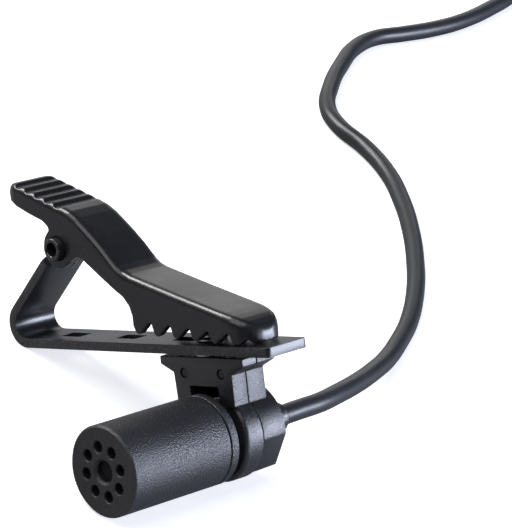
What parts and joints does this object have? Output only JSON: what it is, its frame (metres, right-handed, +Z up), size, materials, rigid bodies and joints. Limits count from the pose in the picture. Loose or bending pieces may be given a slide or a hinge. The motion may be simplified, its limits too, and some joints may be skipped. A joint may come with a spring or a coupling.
{
  "type": "lavalier microphone",
  "caption": "Black lavalier microphone in a ring holder on a sprung tie clip that swivels, with its thin cable wound into a coil and a jack plug on its end.",
  "frame": {"origin": "under the middle of the microphone and clip, on the surface they rest on; the cable and plug aren't counted", "axes": "+Z up; +Y along the microphone's axis from its front face to its cable; +X across, from the clip's sprung bend to its open tip"},
  "size_m": [0.0837, 0.1944, 0.0191],
  "materials": {
    "black_anodised_aluminium": "fine-blasted, satin black anodised",
    "black_plastic": "moulded, satin",
    "black_painted_steel": "smooth satin black coating, bright where it was cut",
    "bright_steel": "bright",
    "spring_steel": "drawn wire",
    "nickel": "nickel plated, polished",
    "cable_pvc": "satin jacket",
    "dust_cloth": "fine acoustic cloth",
    "silicone_rubber": "matte",
    "circuit_board": "solder mask",
    "core_insulation": "smooth",
    "plug_insulator": "moulded, satin"
  },
  "bodies": {
    "microphone": {"mic_housing": "black_anodised_aluminium", "dust_screen": "dust_cloth", "electret_capsule": "nickel", "capsule_gasket": "silicone_rubber", "capsule_board": "circuit_board", "core_wire_signal": "core_insulation", "core_wire_return": "core_insulation", "rear_cap": "black_anodised_aluminium", "strain_relief": "black_plastic", "holder_front": "black_plastic", "holder_rear": "black_plastic", "holder_pin_left": "black_painted_steel", "holder_pin_right": "black_painted_steel", "retaining_wire": "bright_steel", "cable": "cable_pvc", "cable_end": "cable_pvc", "cable_coil": "cable_pvc", "cable_tie": "black_plastic", "plug_boot": "black_plastic", "plug_barrel": "black_anodised_aluminium", "plug_sleeve": "nickel", "plug_rear_insulator": "plug_insulator", "plug_ring_contact": "nickel", "plug_front_insulator": "plug_insulator", "plug_tip": "nickel"},
    "clip": {"lower_jaw": "black_painted_steel", "pivot_pin": "black_painted_steel", "torsion_spring": "spring_steel", "swivel_rivet": "bright_steel", "swivel_washer": "bright_steel"},
    "lever": {"upper_jaw": "black_painted_steel"}
  },
  "joints": [
    {"name": "clip_swivel", "type": "hinge", "parent": "microphone", "child": "clip", "pos_m": [0.01077, 0.00449, 0.01263], "axis": [-0.4719, 0, 0.8817], "range_deg": [-90, 90]},
    {"name": "jaw_hinge", "type": "hinge", "parent": "clip", "child": "lever", "pos_m": [-0.01082, 0.00449, 0.01355], "axis": [0, -1, 0], "range_deg": [0, 28], "stiffness_Nm_per_rad": 0.02, "springref_deg": -28.65, "deforming": ["torsion_spring"]}
  ]
}
